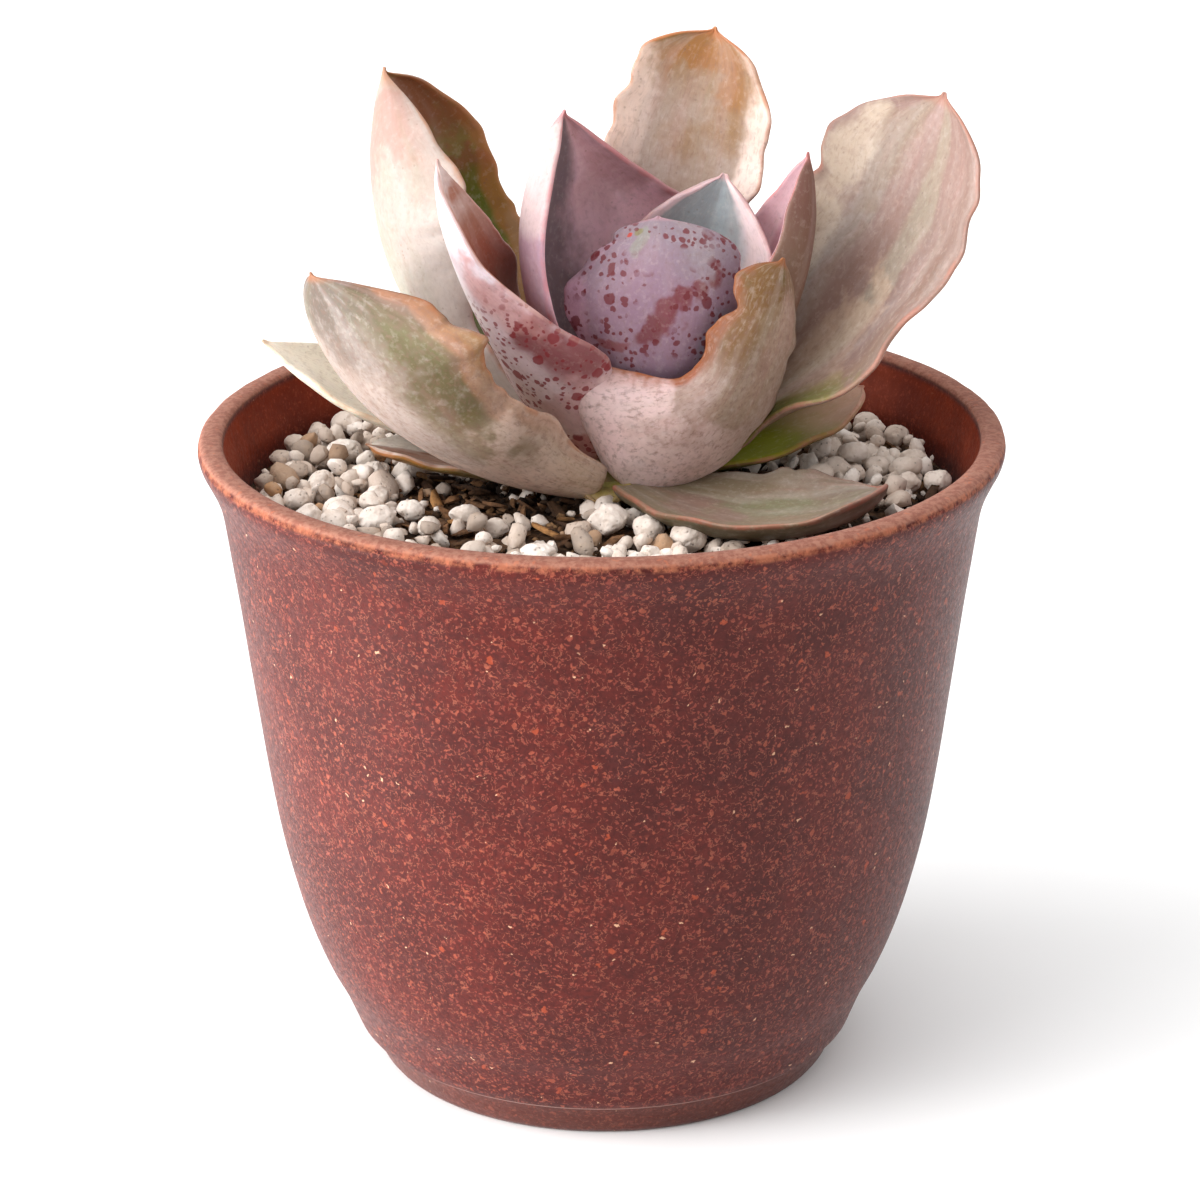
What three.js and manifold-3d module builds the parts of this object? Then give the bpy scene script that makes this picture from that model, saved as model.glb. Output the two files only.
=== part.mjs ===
// Potted rosette succulent: a flared pot with a foot ring, filled with soil, topped with
// pale stones, and planted with a short stem that carries broad cupped leaves.
// Millimetres, +Z up, origin at the centre of the foot ring's resting face.
// The plant's most open side faces -Y.

import * as THREE from 'three';
import * as BufferGeometryUtils from 'three/addons/utils/BufferGeometryUtils.js';
import Module from 'manifold-3d';

// Driving dimensions.
const potHeight = 91.2;
const rimRadius = 55;
const rimInnerRadius = 51.5;
const footRadius = 31.8;
const footHeight = 5.2;
const floorTop = 5.4;
const soilTop = 81.2;
const fitGap = 0.3;
const lathSteps = 36;

const stemFoot = [0.5, 0, 70];
const stemHead = [6, 0.5, 92];
const stemRadius = 4.2;

const leafMidThickness = 3.2;
const leafEdgeThickness = 0.9;
const stepsAlong = 8;
const stepsAcross = 6;

// Colours, all with a matt or satin plant and pot finish.
const looks = {
  pot: { color: 0x8f4a3c, roughness: 0.5, metalness: 0 },
  soil: { color: 0x2b1d15, roughness: 0.95, metalness: 0 },
  stem: { color: 0x8f8a4a, roughness: 0.7, metalness: 0 },
  stone: { color: 0xd8d1c6, roughness: 0.9, metalness: 0 },
};

// Outside of the pot from the foot up to the rim, as [radius, height].
const potOutside = [
  [footRadius, 0], [32.4, 0.6], [34.3, footHeight - 0.3], [35.4, footHeight + 0.3],
  [36.7, 8.9], [39.2, 14], [41.6, 19.8], [43.4, 25.8], [44.9, 32], [46.1, 38.4],
  [47.6, 49], [49, 61], [50.4, 71], [51.6, 79], [52.4, 83], [53.3, 85.2], [54.6, 87.2],
  [rimRadius, 88.8], [rimRadius, potHeight - 1.2], [rimRadius - 0.9, potHeight - 0.1],
];

// Inside of the pot from the rim down to the floor.
const potInside = [
  [rimInnerRadius + 0.6, potHeight], [rimInnerRadius, potHeight - 0.7], [50.7, 87.5],
  [50, 84], [49.2, 79], [47.4, 67], [45.9, 55], [44.4, 44], [42.4, 32], [39.6, 21.5],
  [35.6, 13], [30.5, 8], [24, floorTop + 0.4],
];

// Each leaf: the midrib runs through root, mid and tip. `wide` is the full width laid flat,
// reached at `belly` of the length; `waist` is the width of the base as a share of it.
// `blunt` and `point` shape the end. `cup` is how far each half curls, in degrees, from base
// to tip, and `cupRight` does it for the right half alone. `face` is the compass direction
// that the back of the leaf looks in, and `roll` turns the blade about its midrib.
// `swell` reshapes one margin: [side, 'out' | 'wide', amount, place, spread], where 'out'
// pushes it sideways and 'wide' widens or narrows the blade along its curl.
const leaves = {
  leaf_heart_right: {
    root: [7, 0.5, 92], mid: [10.5, 1.5, 100], tip: [9.5, 1, 107.5], color: 0xb98a9a, wide: 12,
    belly: 0.5, waist: 0.6, blunt: 1.8, point: 0.8, cup: [70, 60], face: [15, 15],
  },
  leaf_heart_left: {
    root: [5, 0.5, 92], mid: [2.5, 0.5, 99.5], tip: [4, 0, 106], color: 0xb98a9a, wide: 12,
    belly: 0.5, waist: 0.6, blunt: 1.8, point: 0.8, cup: [70, 60], face: [190, 190],
  },
  leaf_inner_back: {
    root: [7.5, 3.5, 90.5], mid: [12.5, 7, 107.5], tip: [16.7, 6.5, 125], color: 0x9aa3a0,
    wide: 27, belly: 0.5, waist: 0.45, blunt: 1.8, point: 0.8, cup: [50, 45], face: [75, 75],
    swell: [[-1, 'out', 1.2, 0.8, 0.2]],
  },
  leaf_inner_front: {
    root: [7, -3, 91.5], mid: [7.6, -9, 108.5], tip: [7.6, -4, 121.9], color: 0xab8795,
    wide: 25, belly: 0.7, waist: 0.5, blunt: 5, point: 0.5, cup: [50, 30], cupRight: [50, 45],
    face: [-95, -95], halves: [1, 0.95],
    swell: [
      [-1, 'wide', 2.2, 0.52, 0.22], [-1, 'wide', -2, 0.79, 0.1],
      [-1, 'wide', -5, 0.93, 0.07],
    ],
  },
  leaf_folded_right: {
    root: [9.5, 0.5, 89.5], mid: [24.5, 2, 106], tip: [27.8, 2, 129], color: 0xb98e93, wide: 24,
    belly: 0.5, waist: 0.4, blunt: 1.8, point: 0.75, cup: [80, 80], face: [5, 5],
    swell: [[1, 'wide', 2, 0.6, 0.3]],
  },
  leaf_upright_left: {
    root: [1.5, 1.5, 89.5], mid: [-8.2, 3, 113.5], tip: [-4.7, 3, 134.7], color: 0x8b6a70,
    wide: 34, belly: 0.45, waist: 0.35, blunt: 2.2, point: 0.7, cup: [70, 75],
    cupRight: [60, 60], face: [155, 155], halves: [1.3, 0.95],
    swell: [[-1, 'wide', 7, 0.55, 0.28], [1, 'wide', -4, 0.15, 0.2]],
  },
  leaf_folded_left: {
    root: [-1, -2.5, 87.8], mid: [-15.2, -8.5, 109.2], tip: [-21.4, -9, 131.1], color: 0xb59ba3,
    wide: 38, belly: 0.33, waist: 0.45, blunt: 1.3, point: 0.9, cup: [60, 70],
    cupRight: [85, 58], face: [205, 180], roll: [28, -30], halves: [0.9, 0.85],
    swell: [[1, 'wide', -2.5, 0.5, 0.2], [1, 'wide', -1.5, 0.15, 0.15]],
  },
  leaf_back: {
    root: [8.5, 8, 87], mid: [10, 17, 113.5], tip: [15.9, 20, 142.1], color: 0xb99a83,
    wide: 24.5, belly: 0.66, waist: 0.4, blunt: 3.6, point: 0.5, cup: [50, 40], face: [75, 85],
    roll: [0, -8], swell: [[1, 'wide', -2.2, 0.85, 0.12]],
  },
  leaf_front_right: {
    root: [4.5, -4.5, 84.5], mid: [15.5, -12.5, 97.7], tip: [24.2, -8.5, 117.3],
    color: 0xb9a294, wide: 27, belly: 0.3, waist: 0.45, blunt: 1.8, point: 0.55, cup: [72, 45],
    cupRight: [65, 55], face: [-50, -45], roll: [-32, -20], halves: [1.25, 1],
    swell: [
      [-1, 'wide', 8, 0.16, 0.13], [-1, 'wide', -9, 0.58, 0.18],
      [-1, 'wide', -3.2, 0.82, 0.1],
    ],
  },
  leaf_tall_left: {
    root: [-2.5, 3, 85.8], mid: [-26.2, 15, 106.4], tip: [-29.4, 18, 137.2], color: 0xb5a79c,
    wide: 42, belly: 0.62, waist: 0.25, blunt: 4.2, point: 0.55, cup: [80, 70],
    face: [184, 188], roll: [-5, -12],
    swell: [[1, 'wide', 4, 0.72, 0.22], [-1, 'wide', 5.5, 0.58, 0.28]],
  },
  leaf_tall_right: {
    root: [7, 0.5, 85.5], mid: [32.3, 4, 105.3], tip: [46.2, 6, 136.1], color: 0xae9a8f,
    wide: 35.5, belly: 0.66, waist: 0.3, blunt: 3.2, point: 0.5, cup: [45, 35], face: [15, 15],
    roll: [20, 20], halves: [1.08, 0.95],
    swell: [
      [-1, 'out', 0.8, 0.75, 0.2], [-1, 'wide', -5, 0.2, 0.16],
      [1, 'wide', -3, 0.73, 0.1],
    ],
  },
  leaf_front_left: {
    root: [-1.3, -5, 84], mid: [-26, -15, 96.4], tip: [-37.8, -17, 118.1], color: 0xae9f90,
    wide: 42, belly: 0.45, waist: 0.28, blunt: 4.2, point: 0.6, cup: [75, 45], face: [200, 200],
    roll: [15, 12],
    swell: [
      [1, 'wide', 3.5, 0.75, 0.2], [1, 'wide', -2.5, 0.42, 0.15],
      [1, 'wide', -3, 0.18, 0.12],
    ],
  },
  leaf_rear_right: {
    root: [7, 5, 86], mid: [19, 19, 91.5], tip: [29, 32, 103], color: 0x9d9a78, wide: 24,
    belly: 0.6, waist: 0.35, blunt: 2.3, point: 0.6, cup: [40, 35], face: [50, 50],
  },
  leaf_rear_left: {
    root: [2, 5.5, 86], mid: [-2, 21, 92.5], tip: [-6, 34, 105.5], color: 0x9d9a78, wide: 24,
    belly: 0.6, waist: 0.35, blunt: 2.3, point: 0.6, cup: [40, 35], face: [105, 105],
  },
  leaf_low_right_back: {
    root: [7.5, 2.5, 84], mid: [22.8, 8.5, 86.8], tip: [36.6, 13, 92.8], color: 0x8a8248,
    wide: 25, belly: 0.6, waist: 0.35, blunt: 2.4, point: 0.6, cup: [25, 20], face: [22, 22],
  },
  leaf_low_left_back: {
    root: [-3.5, 3.5, 84.6], mid: [-28, 10, 90], tip: [-46.8, 10, 100.8], color: 0xc2b48e,
    wide: 18.5, belly: 0.6, waist: 0.35, blunt: 1.4, point: 0.9, cup: [45, 35],
    face: [176, 176], roll: [-12, -12],
  },
  leaf_low_right_front: {
    root: [5, -5.5, 84.2], mid: [22.5, -15.5, 82.9], tip: [37.4, -13.5, 87], color: 0xa5958c,
    wide: 24, belly: 0.52, waist: 0.4, blunt: 3.2, point: 0.55, cup: [38, 36],
    cupRight: [35, 30], face: [-14, -4], roll: [4, 0], halves: [1.4, 1],
  },
  leaf_low_left_front: {
    root: [-3.5, 0.5, 83.5], mid: [-18, 2, 85], tip: [-32.5, 4, 87.6], color: 0x9a8a55,
    wide: 15, belly: 0.6, waist: 0.4, blunt: 2, point: 0.7, cup: [30, 25], face: [176, 176],
  },
  leaf_stub: {
    root: [0.5, -4.2, 84], mid: [0, -7, 84], tip: [-0.7, -9, 83.4], color: 0xa6a05c, wide: 8.5,
    belly: 0.4, waist: 0.85, blunt: 2.6, point: 0.5, cup: [40, 35], face: [-95, -95],
  },
};

// Larger stones of the top dressing: [x, y, length, breadth, height, turn in degrees].
const stones = [
  [-36, 14, 5.8, 4.6, 3.6, 5], [-31.5, 5.5, 3.8, 3.4, 3.2, 40], [-38.5, 1.5, 4.3, 3.8, 3.2, 70],
  [-30.5, -4.2, 3.9, 3.3, 3, 100], [-30, -14.5, 5.8, 4.2, 3.6, 20], [-25.8, -10.3, 3.9, 3.3, 3, 0],
  [-18.5, -12, 4.5, 2.9, 2.8, 10], [-23.2, -17, 3.4, 3.2, 3, 60], [-14, -17.3, 3.5, 3, 2.8, 15],
  [-19.3, -23.6, 5.8, 4.2, 3.4, 350], [-35.5, -9.6, 4.7, 3.8, 3.2, 30],
  [-39.3, -12.5, 4.4, 3.8, 3.2, 320],
  [-41.5, -5.6, 3.9, 3.4, 3, 0], [-36.6, 27.6, 4.8, 4, 3.4, 20], [-40.4, 23.4, 4, 3.4, 3, 130],
  [-43.2, 18.2, 3.8, 3.2, 3, 10], [-44.9, 12.4, 4.4, 2.8, 2.6, 340], [0.8, -16.8, 6, 5, 4.4, 5],
  [6.2, -19, 4.8, 4.2, 3.8, 120], [11.3, -23.5, 5.2, 4.6, 4.4, 0], [6.2, -28.5, 3.4, 3, 3, 80],
  [17.2, -27.5, 4, 3.4, 3, 30], [-1.6, -27.6, 4.2, 3.6, 3.4, 60], [-8.6, -28.2, 5.4, 3.8, 3, 10],
  [32.3, 4.2, 5.6, 4.6, 3.8, 15], [38.2, 6.6, 3.9, 3.4, 3.2, 150], [42, -0.6, 3.7, 3.4, 3.2, 60],
  [46, 0.2, 4.1, 3.6, 3.4, 20], [43.4, 9.5, 4.2, 3.4, 3.2, 160], [41.8, 20.2, 4, 3.4, 3.2, 30],
  [38, 26, 4.2, 3.4, 3.4, 140], [-3, 42, 5, 4.2, 3.6, 20], [14, 40.5, 4.6, 3.8, 3.4, 70],
  [-20, 39, 5, 4, 3.4, 130], [27, 35.5, 4.4, 3.6, 3.2, 10], [-10, 30, 4.4, 3.6, 3.2, 60],
];

const wasm = await Module();
wasm.setup();

const radians = (degrees) => degrees * Math.PI / 180;
const mixed = (pair, t) => pair[0] + (pair[1] - pair[0]) * t;
const bell = (t, place, spread) => Math.exp(-(((t - place) / spread) ** 2));

// A closed geometry as a solid that can be cut.
function solidOf(geometry) {
  const bare = geometry.clone();
  bare.deleteAttribute('normal');
  bare.deleteAttribute('uv');
  const merged = BufferGeometryUtils.mergeVertices(bare, 1e-4);
  return new wasm.Manifold(new wasm.Mesh({
    numProp: 3,
    vertProperties: Float32Array.from(merged.attributes.position.array),
    triVerts: Uint32Array.from(merged.index.array),
  }));
}

// A solid's largest body as geometry.
function geometryOf(solid) {
  const bodies = solid.decompose();
  bodies.sort((a, b) => b.volume() - a.volume());
  const mesh = bodies[0].getMesh();
  const geometry = new THREE.BufferGeometry();
  geometry.setAttribute('position', new THREE.BufferAttribute(mesh.vertProperties, 3));
  geometry.setIndex(new THREE.BufferAttribute(mesh.triVerts, 1));
  geometry.computeVertexNormals();
  return geometry;
}

// Turns a profile of [radius, height] about the Z axis.
function turned(profile) {
  const points = profile.map(([radius, height]) => new THREE.Vector2(radius, height));
  const geometry = new THREE.LatheGeometry(points, lathSteps);
  geometry.rotateX(Math.PI / 2);
  return geometry;
}

function potGeometry() {
  const underside = [[0, 2.6], [26.5, 2.6], [27.6, 1.6], [28.2, 0]];
  const profile = [...underside, ...potOutside, ...potInside, [0, floorTop]];
  return turned(profile);
}

function soilGeometry() {
  const wall = potInside
    .filter(([, height]) => height < soilTop - 1)
    .map(([radius, height]) => [radius - fitGap, height + fitGap])
    .reverse();
  const top = [[49.2, soilTop - 0.7], [40, soilTop - 0.2], [20, soilTop], [0, soilTop]];
  return turned([[0, floorTop + fitGap], ...wall, ...top]);
}

// The stem leans from its foot in the soil to its head, with a swollen crown at ground level.
function stemGeometry(extra) {
  const length = stemHead[2] - stemFoot[2] + extra;
  const geometry = new THREE.CylinderGeometry(1, 1, 1, 14, 8);
  geometry.rotateX(Math.PI / 2);
  const place = geometry.attributes.position;
  for (let i = 0; i < place.count; i += 1) {
    const t = place.getZ(i) + 0.5;
    const swollen = stemRadius * (1 - 0.35 * t) + 1.1 * bell(t, 0.55, 0.22);
    const spread = swollen * (1 - 0.35 * bell(t, 0, 0.25)) + extra;
    place.setXYZ(
      i,
      mixed([stemFoot[0], stemHead[0]], t ** 1.6) + place.getX(i) * spread,
      mixed([stemFoot[1], stemHead[1]], t) + place.getY(i) * spread,
      stemFoot[2] - extra / 2 + t * length,
    );
  }
  return geometry;
}

// Half the flat width of a leaf at t of its length.
function halfWidth(leaf, t) {
  const rise = leaf.waist + (1 - leaf.waist) * Math.sin(Math.PI / 2 * Math.min(t / leaf.belly, 1));
  const past = Math.max(0, (t - leaf.belly) / (1 - leaf.belly));
  const fall = Math.max(0, 1 - past ** leaf.blunt) ** leaf.point;
  return Math.max(leaf.wide / 2 * (t < leaf.belly ? rise : fall), 0.35);
}

// Position and axes on the midrib at t: along, across to the right margin, and inward.
function midrib(leaf, t) {
  const root = new THREE.Vector3(...leaf.root);
  const tip = new THREE.Vector3(...leaf.tip);
  const handle = new THREE.Vector3(...leaf.mid).multiplyScalar(2)
    .addScaledVector(root, -0.5).addScaledVector(tip, -0.5);
  const curve = new THREE.QuadraticBezierCurve3(root, handle, tip);
  const along = curve.getTangent(t);
  const heading = radians(mixed(leaf.face, t));
  const across = new THREE.Vector3(-Math.sin(heading), Math.cos(heading), 0);
  across.addScaledVector(along, -across.dot(along)).normalize();
  across.applyAxisAngle(along, radians(mixed(leaf.roll ?? [0, 0], t)));
  const inward = new THREE.Vector3().crossVectors(along, across);
  return { at: curve.getPoint(t), along, across, inward };
}

// A point of the blade: t along, s across from -1 to 1, face -1 on the back and 1 inside.
function bladePoint(leaf, t, s, face, extra) {
  const frame = midrib(leaf, t);
  const half = s < 0 ? 0 : 1;
  const curl = radians(mixed(half && leaf.cupRight ? leaf.cupRight : leaf.cup, t));
  const swells = (leaf.swell ?? []).filter(([side]) => side * s > 0);
  const shift = (kind) => swells.filter(([, way]) => way === kind)
    .reduce((sum, [, , amount, spot, spread]) => sum + amount * bell(t, spot, spread), 0);
  const widened = shift('wide') * Math.min(1, (1 - t) * 10);
  const reach = Math.max(0.35, halfWidth(leaf, t) * (leaf.halves ?? [1, 1])[half] + widened) + extra;
  const bend = reach / curl;
  let out = bend * Math.sin(curl * s);
  let up = bend * (1 - Math.cos(curl * s));
  out += Math.sign(s) * s * s * shift('out');
  const body = leafMidThickness * (1 - 0.45 * t) * Math.min(1, leaf.wide / 18) - leafEdgeThickness;
  const thick = leafEdgeThickness + body * (1 - s * s) * Math.min(1, (1 - t) * 6);
  const off = face * (thick / 2 + extra);
  out -= off * Math.sin(curl * s);
  up += off * Math.cos(curl * s);
  return frame.at
    .addScaledVector(frame.across, out)
    .addScaledVector(frame.inward, up);
}

// The blade as a closed solid: a slab whose X runs across, Z along and Y from back to inside.
function leafGeometry(leaf, extra) {
  const geometry = new THREE.BoxGeometry(2, 2, 1, stepsAcross, 1, stepsAlong);
  const place = geometry.attributes.position;
  for (let i = 0; i < place.count; i += 1) {
    const even = place.getZ(i) + 0.5;
    const t = 1 - (1 - even) ** 1.25;
    const point = bladePoint(leaf, t, place.getX(i), place.getY(i), extra);
    place.setXYZ(i, point.x, point.y, point.z);
  }
  return geometry;
}

// A worn stone, each with lumps of its own, half sunk in the soil.
function stoneGeometry([x, y, length, breadth, height, turn], count, extra) {
  const geometry = new THREE.IcosahedronGeometry(0.5, 1);
  const place = geometry.attributes.position;
  for (let i = 0; i < place.count; i += 1) {
    const p = new THREE.Vector3().fromBufferAttribute(place, i);
    const lump = 1 + 0.16 * Math.sin(5 * p.x + count) + 0.14 * Math.sin(6 * p.y + 2.3 * count)
      + 0.1 * Math.sin(7 * p.z + 1.7 * count);
    p.multiplyScalar(lump);
    place.setXYZ(i, p.x * (length + extra), p.y * (breadth + extra), p.z * (height + extra));
  }
  geometry.rotateZ(radians(turn));
  geometry.translate(x, y, soilTop + height * 0.5 + 0.25);
  return geometry;
}

function meshOf(name, geometry, look) {
  const mesh = new THREE.Mesh(geometry, new THREE.MeshStandardMaterial(look));
  mesh.name = name;
  return mesh;
}

const group = new THREE.Group();
group.name = 'potted_succulent';

group.add(meshOf('pot', potGeometry(), looks.pot));

const stem = solidOf(stemGeometry(0));
const stemRoom = solidOf(stemGeometry(fitGap));
group.add(meshOf('stem', geometryOf(stem), looks.stem));
group.add(meshOf('soil', geometryOf(solidOf(soilGeometry()).subtract(stemRoom)), looks.soil));

// Each leaf gives way to the stem and to the leaves nearer the heart.
const taken = [stemRoom];
for (const [name, leaf] of Object.entries(leaves)) {
  let blade = solidOf(leafGeometry(leaf, 0));
  for (const room of taken) {
    blade = blade.subtract(room);
  }
  group.add(meshOf(name, geometryOf(blade), { color: leaf.color, roughness: 0.6, metalness: 0 }));
  taken.push(solidOf(leafGeometry(leaf, fitGap)));
}

// Each stone gives way to the plant and to the stones before it.
stones.forEach((stone, index) => {
  let piece = solidOf(stoneGeometry(stone, index, 0));
  for (const room of taken) {
    piece = piece.subtract(room);
  }
  const name = `stone_${String(index + 1).padStart(2, '0')}`;
  group.add(meshOf(name, geometryOf(piece), looks.stone));
  taken.push(solidOf(stoneGeometry(stone, index, 2 * fitGap)));
});

export default group;
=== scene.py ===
import math
import random
import bpy
from mathutils import Matrix, Vector, noise


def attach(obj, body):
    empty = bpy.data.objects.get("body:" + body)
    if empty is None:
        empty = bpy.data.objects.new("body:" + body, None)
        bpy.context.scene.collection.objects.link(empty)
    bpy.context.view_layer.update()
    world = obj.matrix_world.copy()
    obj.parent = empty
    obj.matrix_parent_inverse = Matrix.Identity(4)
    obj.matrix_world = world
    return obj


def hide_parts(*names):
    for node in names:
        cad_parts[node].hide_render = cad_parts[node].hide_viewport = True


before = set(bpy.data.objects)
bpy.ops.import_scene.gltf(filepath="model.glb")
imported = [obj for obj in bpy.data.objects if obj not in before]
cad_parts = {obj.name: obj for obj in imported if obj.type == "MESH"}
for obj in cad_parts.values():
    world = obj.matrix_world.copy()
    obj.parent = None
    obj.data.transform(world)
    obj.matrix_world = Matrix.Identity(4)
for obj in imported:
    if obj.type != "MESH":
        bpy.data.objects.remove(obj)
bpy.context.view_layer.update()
mm = 0.001


def tone(code):  # "#rrggbb" to linear colour
    channels = [int(code[i:i + 2], 16) / 255 for i in (1, 3, 5)]
    linear = [c / 12.92 if c < 0.04045 else ((c + 0.055) / 1.055) ** 2.4 for c in channels]
    return (*linear, 1.0)


def clearSelection():
    if bpy.context.object and bpy.context.object.mode != "OBJECT":
        bpy.ops.object.mode_set(mode="OBJECT")
    bpy.ops.object.select_all(action="DESELECT")


def makeActive(piece):
    clearSelection()
    piece.select_set(True)
    bpy.context.view_layer.objects.active = piece


def editAll():
    bpy.ops.object.mode_set(mode="EDIT")
    bpy.ops.mesh.select_all(action="SELECT")


def editDone(outward=False):
    if outward:
        bpy.ops.mesh.normals_make_consistent(inside=False)
    bpy.ops.object.mode_set(mode="OBJECT")


def newObject(name, data):
    made = bpy.data.objects.new(name, data)
    bpy.context.scene.collection.objects.link(made)
    return made


def applyModifiers(piece):
    makeActive(piece)
    for modifier in list(piece.modifiers):
        bpy.ops.object.modifier_apply(modifier=modifier.name)


def bell(x, place, spread):
    return math.exp(-(((x - place) / spread) ** 2))


def smoothStep(low, high, x):
    u = min(1.0, max(0.0, (x - low) / (high - low)))
    return u * u * (3 - 2 * u)


def settle(piece, nodes=()):  # every piece rides on the one body
    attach(piece, "root")
    if nodes:
        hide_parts(*nodes)


class Recipe:  # builds one material's nodes
    def __init__(self, name):
        self.material = bpy.data.materials.new(name)
        self.material.use_nodes = True
        self.tree = self.material.node_tree
        self.shader = self.tree.nodes["Principled BSDF"]

    def add(self, kind, inputs=None, **settings):
        node = self.tree.nodes.new(kind)
        for key, value in settings.items():
            setattr(node, key, value)
        for key, value in (inputs or {}).items():
            self.put(node.inputs[key], value)
        return node

    def put(self, socket, value):
        if isinstance(value, bpy.types.NodeSocket):
            self.tree.links.new(value, socket)
        else:
            socket.default_value = value

    def math(self, operation, a, b=0.0):
        return self.add("ShaderNodeMath", {0: a, 1: b}, operation=operation).outputs[0]

    def times(self, a, b):
        return self.math("MULTIPLY", a, b)

    def range(self, value, low, high, start=0.0, end=1.0):
        node = self.add("ShaderNodeMapRange", {"Value": value, "From Min": low, "From Max": high,
                                               "To Min": start, "To Max": end})
        node.interpolation_type = "SMOOTHSTEP"
        return node.outputs[0]

    def mix(self, factor, a, b):  # 6, 7 and 2 are the node's colour sockets
        return self.add("ShaderNodeMix", {0: factor, 6: a, 7: b}, data_type="RGBA").outputs[2]

    def tint(self, colour, mask, strength, code):  # lays a tone over colour where mask is bright
        return self.mix(self.times(mask, strength), colour, tone(code))

    def noise(self, vector, scale, detail=3.0, roughness=0.55):
        return self.add("ShaderNodeTexNoise", {"Vector": vector, "Scale": scale, "Detail": detail,
                                               "Roughness": roughness}).outputs[0]

    def warp(self, vector, scale, amount):  # pushes the place about so that shapes turn irregular
        wander = self.add("ShaderNodeTexNoise",
                          {"Vector": vector, "Scale": scale, "Detail": 3}).outputs[1]
        push = self.add("ShaderNodeVectorMath", {0: wander, 1: (amount, amount, amount)},
                        operation="MULTIPLY").outputs[0]
        return self.add("ShaderNodeVectorMath", {0: vector, 1: push}, operation="ADD").outputs[0]

    def cells(self, vector, scale):  # how far from each cell's middle, and three numbers of its own
        outputs = self.add("ShaderNodeTexVoronoi", {"Vector": vector, "Scale": scale}).outputs
        return outputs["Distance"], self.split(outputs["Color"])

    def place(self):
        return self.add("ShaderNodeTexCoord").outputs["Object"]

    def split(self, vector):
        return self.add("ShaderNodeSeparateXYZ", {0: vector}).outputs

    def join(self, x, y, z):
        return self.add("ShaderNodeCombineXYZ", {0: x, 1: y, 2: z}).outputs[0]

    def ramp(self, value, stops):  # stops are (place, tone) pairs
        node = self.add("ShaderNodeValToRGB", {"Fac": value})
        node.color_ramp.elements[0].color = tone(stops[0][1])
        node.color_ramp.elements[1].color = tone(stops[-1][1])
        for where, code in stops[1:-1]:
            node.color_ramp.elements.new(where).color = tone(code)
        return node.outputs[0]

    def bump(self, height, strength, distance, under=None):
        node = self.add("ShaderNodeBump",
                        {"Height": height, "Strength": strength, "Distance": distance})
        if under is not None:
            self.put(node.inputs["Normal"], under)
        return node.outputs[0]

    def finish(self, **sockets):
        for key, value in sockets.items():
            self.put(self.shader.inputs[key.replace("_", " ")], value)
        return self.material


# camera, light and floor
viewSetup = {"elevation": 20.5, "distance": 0.55, "lens": 119.0, "roll": -0.32,
             "aim": (-0.00035, 0.0, 0.066)}


def makeCamera(setup):
    up = math.radians(setup["elevation"])
    forward = Vector((0, math.cos(up), -math.sin(up)))
    right = Vector((1, 0, 0))
    above = right.cross(forward)
    roll = math.radians(setup["roll"])
    side = right * math.cos(roll) + above * math.sin(roll)
    top = above * math.cos(roll) - right * math.sin(roll)
    spot = Vector(setup["aim"]) - forward * setup["distance"]
    data = bpy.data.cameras.new("viewCamera")
    data.lens = setup["lens"]
    data.sensor_width = 36
    data.clip_start = 0.01
    camera = newObject("viewCamera", data)
    camera.matrix_world = Matrix((
        (side.x, top.x, -forward.x, spot.x), (side.y, top.y, -forward.y, spot.y),
        (side.z, top.z, -forward.z, spot.z), (0, 0, 0, 1)))
    bpy.context.scene.camera = camera


studio = {  # where each light stands and looks, how wide it is in degrees, how strong
    "sky": (1.0, 1.0, 1.0), "skyStrength": 0.88, "floorSize": 8, "floorTones": (0.93, 0.95),
    "highSoftbox": {"at": (-0.3, -0.15, 0.94), "wide": 80, "power": 0.9},
    "sideSoftbox": {"at": (-0.87, -0.3, 0.37), "wide": 60, "power": 3.9},
    "lowCard": {"at": (-0.26, -0.1, 0.04), "towards": (-0.04, -0.02, 0.035), "size": 0.12,
                "wide": 50, "power": 0.125},
}


def makeLight(name, lamp, kind):
    data = bpy.data.lights.new(name, kind)
    data.energy = lamp["power"]
    if kind == "AREA":
        data.shape = "SQUARE"
        data.size = lamp["size"]
        data.spread = math.radians(lamp["wide"])
    else:
        data.angle = math.radians(lamp["wide"])
    light = newObject(name, data)
    light.location = Vector(lamp["at"])
    way = Vector(lamp.get("towards", (0, 0, 0))) - light.location
    light.rotation_euler = way.to_track_quat("-Z", "Y").to_euler()


def makeStudio(setup):
    world = bpy.data.worlds.new("studioWorld")
    world.use_nodes = True
    sky = world.node_tree.nodes["Background"]
    sky.inputs["Color"].default_value = (*setup["sky"], 1)
    sky.inputs["Strength"].default_value = setup["skyStrength"]
    bpy.context.scene.world = world
    makeLight("highSoftbox", setup["highSoftbox"], "SUN")
    makeLight("sideSoftbox", setup["sideSoftbox"], "SUN")
    makeLight("lowCard", setup["lowCard"], "AREA")
    clearSelection()
    bpy.ops.mesh.primitive_plane_add(size=setup["floorSize"])
    floor = bpy.context.object
    floor.name = "studioFloor"
    recipe = Recipe("paleFloor")
    shade = recipe.noise(recipe.place(), 40, 2)
    low, high = setup["floorTones"]
    colour = recipe.mix(shade, (low, low, low, 1), (high, high, high, 1))
    floor.data.materials.append(recipe.finish(Base_Color=colour, Roughness=0.8))


makeCamera(viewSetup)
makeStudio(studio)
bpy.context.scene.view_settings.view_transform = "Standard"
print("camera, light and floor made")


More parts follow.
